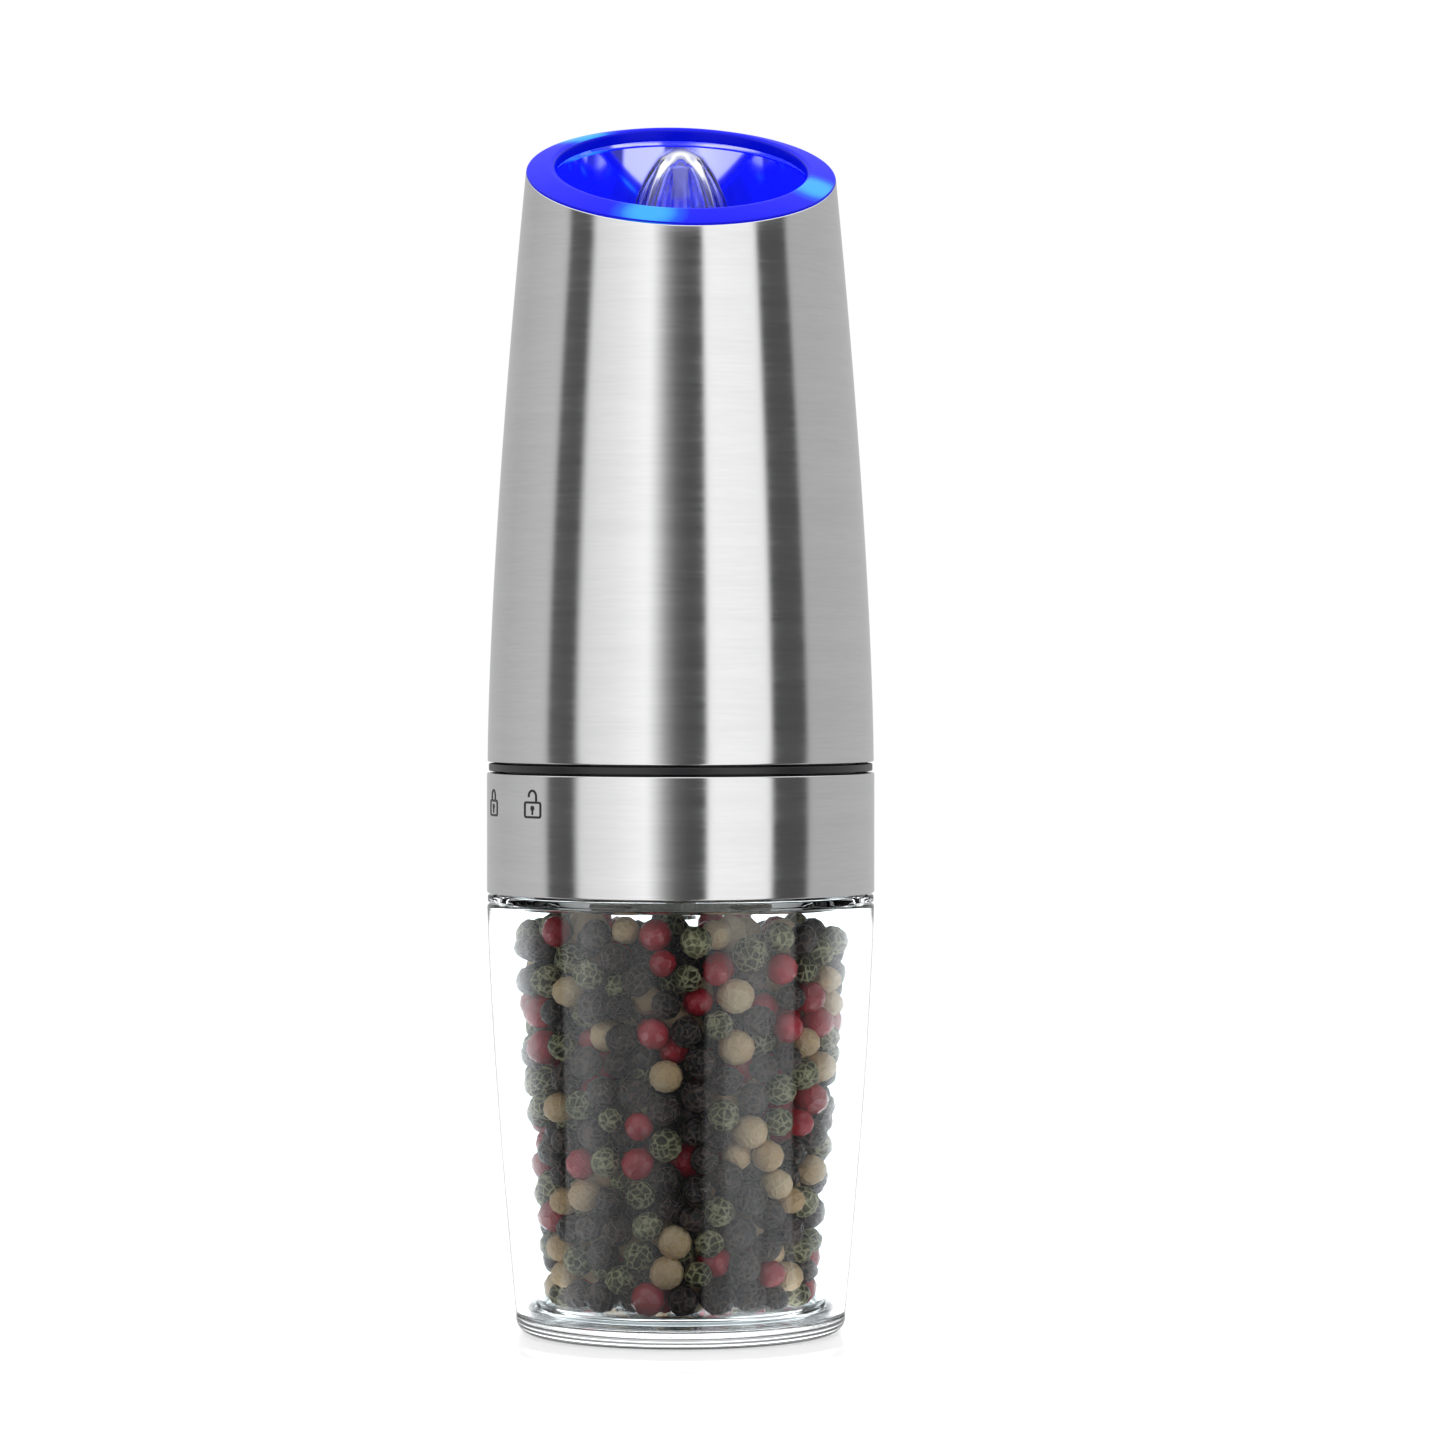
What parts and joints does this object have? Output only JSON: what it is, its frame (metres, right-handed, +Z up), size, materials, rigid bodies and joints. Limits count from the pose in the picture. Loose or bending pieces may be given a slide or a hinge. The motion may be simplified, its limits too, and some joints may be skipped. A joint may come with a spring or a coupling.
{
  "type": "pepper mill",
  "caption": "Electric gravity pepper mill with a steel casing, a lit slanted mouth, a ceramic burr and a clear unscrewing jar.",
  "frame": {"origin": "centre of the jar's base, on the surface that the mill stands on", "axes": "+Z up through the jar, the collar and the casing; -Y is the front, where the slanted mouth is lowest; +X is to the right seen from the front"},
  "size_m": [0.063, 0.0626, 0.1987],
  "materials": {
    "clear_acrylic": "clear moulded acrylic, polished",
    "white_silicone": "moulded translucent white silicone",
    "black_abs": "moulded ABS, fine matt texture",
    "brushed_steel": "brushed round the axis",
    "white_ceramic": "sintered, unglazed",
    "white_acetal": "moulded acetal, satin",
    "sintered_bronze": "oil-filled sintered bronze",
    "plated_steel": "bright zinc plate",
    "spring_steel": "nickel-plated spring steel",
    "copper_winding": "enamelled copper wire on a laminated core",
    "grey_abs": "moulded ABS, fine matt texture",
    "cell_jacket": "plain printed film jacket",
    "green_laminate": "glass-epoxy board under green lacquer",
    "white_laminate": "glass-epoxy board under white lacquer",
    "chromed_plastic": "moulded ABS, chromed",
    "blue_light_guide": "frosted translucent blue acrylic, lit from below",
    "amber_film": "polyimide flexible circuit",
    "lead_sleeve": "PVC lead sleeve"
  },
  "bodies": {
    "jar": {"jar_shell": "clear_acrylic", "jar_cup": "clear_acrylic", "jar_base": "clear_acrylic"},
    "seal": {"jar_seal": "white_silicone"},
    "head": {"collar_body": "black_abs", "collar_sleeve": "brushed_steel", "outer_burr": "white_ceramic", "burr_retainer": "white_acetal", "shaft_bush": "sintered_bronze", "gear_housing": "grey_abs", "motor_can": "plated_steel", "motor_end_cap": "black_abs", "motor_lead_1": "lead_sleeve", "motor_lead_2": "lead_sleeve", "cell_cage": "grey_abs", "cage_screw_1": "plated_steel", "cage_screw_2": "plated_steel", "cage_screw_3": "plated_steel", "cell_1": "cell_jacket", "cell_2": "cell_jacket", "cell_3": "cell_jacket", "cell_4": "cell_jacket", "cell_5": "cell_jacket", "cell_6": "cell_jacket", "low_contact_1": "spring_steel", "low_contact_2": "spring_steel", "low_contact_3": "spring_steel", "high_contact_1": "spring_steel", "high_contact_2": "spring_steel", "high_contact_3": "spring_steel", "high_contact_4": "spring_steel", "circuit_board": "green_laminate", "tilt_switch_can": "plated_steel", "light_pin_1": "sintered_bronze", "light_pin_2": "sintered_bronze"},
    "lift": {"separator_ring": "black_abs"},
    "casing": {"steel_casing": "brushed_steel", "casing_foot": "black_abs", "hood": "black_abs", "dome": "clear_acrylic", "light_ring": "blue_light_guide", "light_reflector": "chromed_plastic", "led_board": "white_laminate", "led_flex": "amber_film"},
    "drive": {"drive_shaft": "plated_steel", "output_carrier": "plated_steel", "burr_spring": "spring_steel"},
    "burr": {"inner_burr": "white_ceramic"},
    "knob": {"adjust_knob": "white_acetal"},
    "first_stage": {"first_carrier": "plated_steel"},
    "rotor": {"motor_rotor": "copper_winding"},
    "ball": {"tilt_ball": "plated_steel"},
    "stage_2_planet_1": {"stage_2_planet_1": "white_acetal"},
    "stage_2_planet_2": {"stage_2_planet_2": "white_acetal"},
    "stage_2_planet_3": {"stage_2_planet_3": "white_acetal"},
    "stage_1_planet_1": {"stage_1_planet_1": "white_acetal"},
    "stage_1_planet_2": {"stage_1_planet_2": "white_acetal"},
    "stage_1_planet_3": {"stage_1_planet_3": "white_acetal"}
  },
  "joints": [
    {"name": "head_rise", "type": "slide", "parent": "jar", "child": "seal", "axis": [0, 0, 1], "range_m": [0, 0.008]},
    {"name": "head_turn", "type": "hinge", "parent": "seal", "child": "head", "pos_m": [0, 0, 0.08], "axis": [0, 0, 1], "range_deg": [0, 160]},
    {"name": "casing_lift", "type": "slide", "parent": "head", "child": "lift", "axis": [0, 0, 1], "range_m": [0, 0.075]},
    {"name": "casing_twist", "type": "hinge", "parent": "lift", "child": "casing", "pos_m": [0, 0, 0.095], "axis": [0, 0, 1], "range_deg": [-28, 0]},
    {"name": "drive_spin", "type": "hinge", "parent": "head", "child": "drive", "pos_m": [0, 0, 0.09], "axis": [0, 0, 1], "continuous": true},
    {"name": "burr_shift", "type": "slide", "parent": "drive", "child": "burr", "axis": [0, 0, 1], "range_m": [-0.0004, 0.0004], "deforming": ["burr_spring"]},
    {"name": "knob_turn", "type": "hinge", "parent": "burr", "child": "knob", "pos_m": [0, 0, 0.072], "axis": [0, 0, 1], "range_deg": [-180, 180]},
    {"name": "first_stage_spin", "type": "hinge", "parent": "head", "child": "first_stage", "pos_m": [0, 0, 0.1], "axis": [0, 0, 1], "continuous": true},
    {"name": "rotor_spin", "type": "hinge", "parent": "head", "child": "rotor", "pos_m": [0, 0, 0.12], "axis": [0, 0, 1], "continuous": true},
    {"name": "tilt_ball_roll", "type": "slide", "parent": "head", "child": "ball", "axis": [0, 0, 1], "range_m": [0, 0.0035]},
    {"name": "stage_2_planet_1_spin", "type": "hinge", "parent": "drive", "child": "stage_2_planet_1", "pos_m": [0.006, 0, 0.1], "axis": [0, 0, 1], "continuous": true},
    {"name": "stage_2_planet_2_spin", "type": "hinge", "parent": "drive", "child": "stage_2_planet_2", "pos_m": [-0.003, 0.0052, 0.1], "axis": [0, 0, 1], "continuous": true},
    {"name": "stage_2_planet_3_spin", "type": "hinge", "parent": "drive", "child": "stage_2_planet_3", "pos_m": [-0.003, -0.0052, 0.1], "axis": [0, 0, 1], "continuous": true},
    {"name": "stage_1_planet_1_spin", "type": "hinge", "parent": "first_stage", "child": "stage_1_planet_1", "pos_m": [0.006, 0, 0.1], "axis": [0, 0, 1], "continuous": true},
    {"name": "stage_1_planet_2_spin", "type": "hinge", "parent": "first_stage", "child": "stage_1_planet_2", "pos_m": [-0.003, 0.0052, 0.1], "axis": [0, 0, 1], "continuous": true},
    {"name": "stage_1_planet_3_spin", "type": "hinge", "parent": "first_stage", "child": "stage_1_planet_3", "pos_m": [-0.003, -0.0052, 0.1], "axis": [0, 0, 1], "continuous": true}
  ],
  "couplings": [
    {"joint": "head_rise", "follows": "head_turn", "m_per_rad": 0.0028648},
    {"joint": "knob_turn", "follows": "burr_shift", "rad_per_m": 7854},
    {"joint": "first_stage_spin", "follows": "drive_spin", "ratio": 4},
    {"joint": "rotor_spin", "follows": "drive_spin", "ratio": 16},
    {"joint": "stage_2_planet_1_spin", "follows": "drive_spin", "ratio": -3},
    {"joint": "stage_2_planet_2_spin", "follows": "drive_spin", "ratio": -3},
    {"joint": "stage_2_planet_3_spin", "follows": "drive_spin", "ratio": -3},
    {"joint": "stage_1_planet_1_spin", "follows": "drive_spin", "ratio": -12},
    {"joint": "stage_1_planet_2_spin", "follows": "drive_spin", "ratio": -12},
    {"joint": "stage_1_planet_3_spin", "follows": "drive_spin", "ratio": -12}
  ]
}
